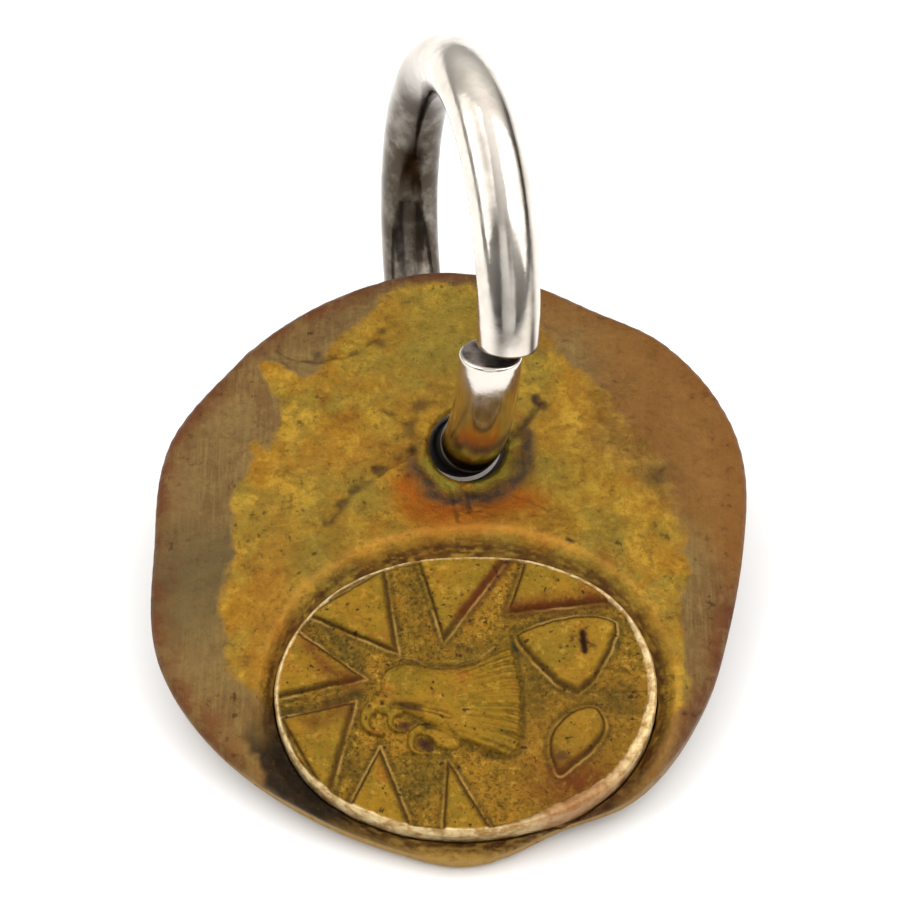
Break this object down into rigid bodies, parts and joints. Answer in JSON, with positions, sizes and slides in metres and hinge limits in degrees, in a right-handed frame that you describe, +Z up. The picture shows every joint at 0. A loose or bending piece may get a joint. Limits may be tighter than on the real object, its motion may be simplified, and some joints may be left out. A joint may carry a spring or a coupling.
{
  "type": "seal pendant",
  "caption": "Wavy-edged cast brass plate with an oval medallion of rays and a bird's head, hung through a small hole on a bent split ring of silver wire.",
  "frame": {"origin": "middle of the pendant's footprint, on the table it rests on", "axes": "+Z up from the table, +Y from the plate's lower edge towards the ring, +X to the right of the face"},
  "size_m": [0.0194, 0.027, 0.0146],
  "materials": {
    "plate_brass": "aged cast brass with a brown patina",
    "medallion_brass": "aged cast brass with a bright worn rim",
    "ring_silver": "polished silver wire, dark at the cut"
  },
  "bodies": {
    "pendant": {"seal_plate": "plate_brass", "seal_medallion": "medallion_brass"},
    "ring": {"split_ring": "ring_silver"}
  },
  "joints": [
    {"name": "ring_turn", "type": "hinge", "parent": "pendant", "child": "ring", "pos_m": [-0.0001, 0.00623, 0.00732], "axis": [0.9762, 0.1898, -0.1045], "range_deg": [-150, 40]}
  ]
}
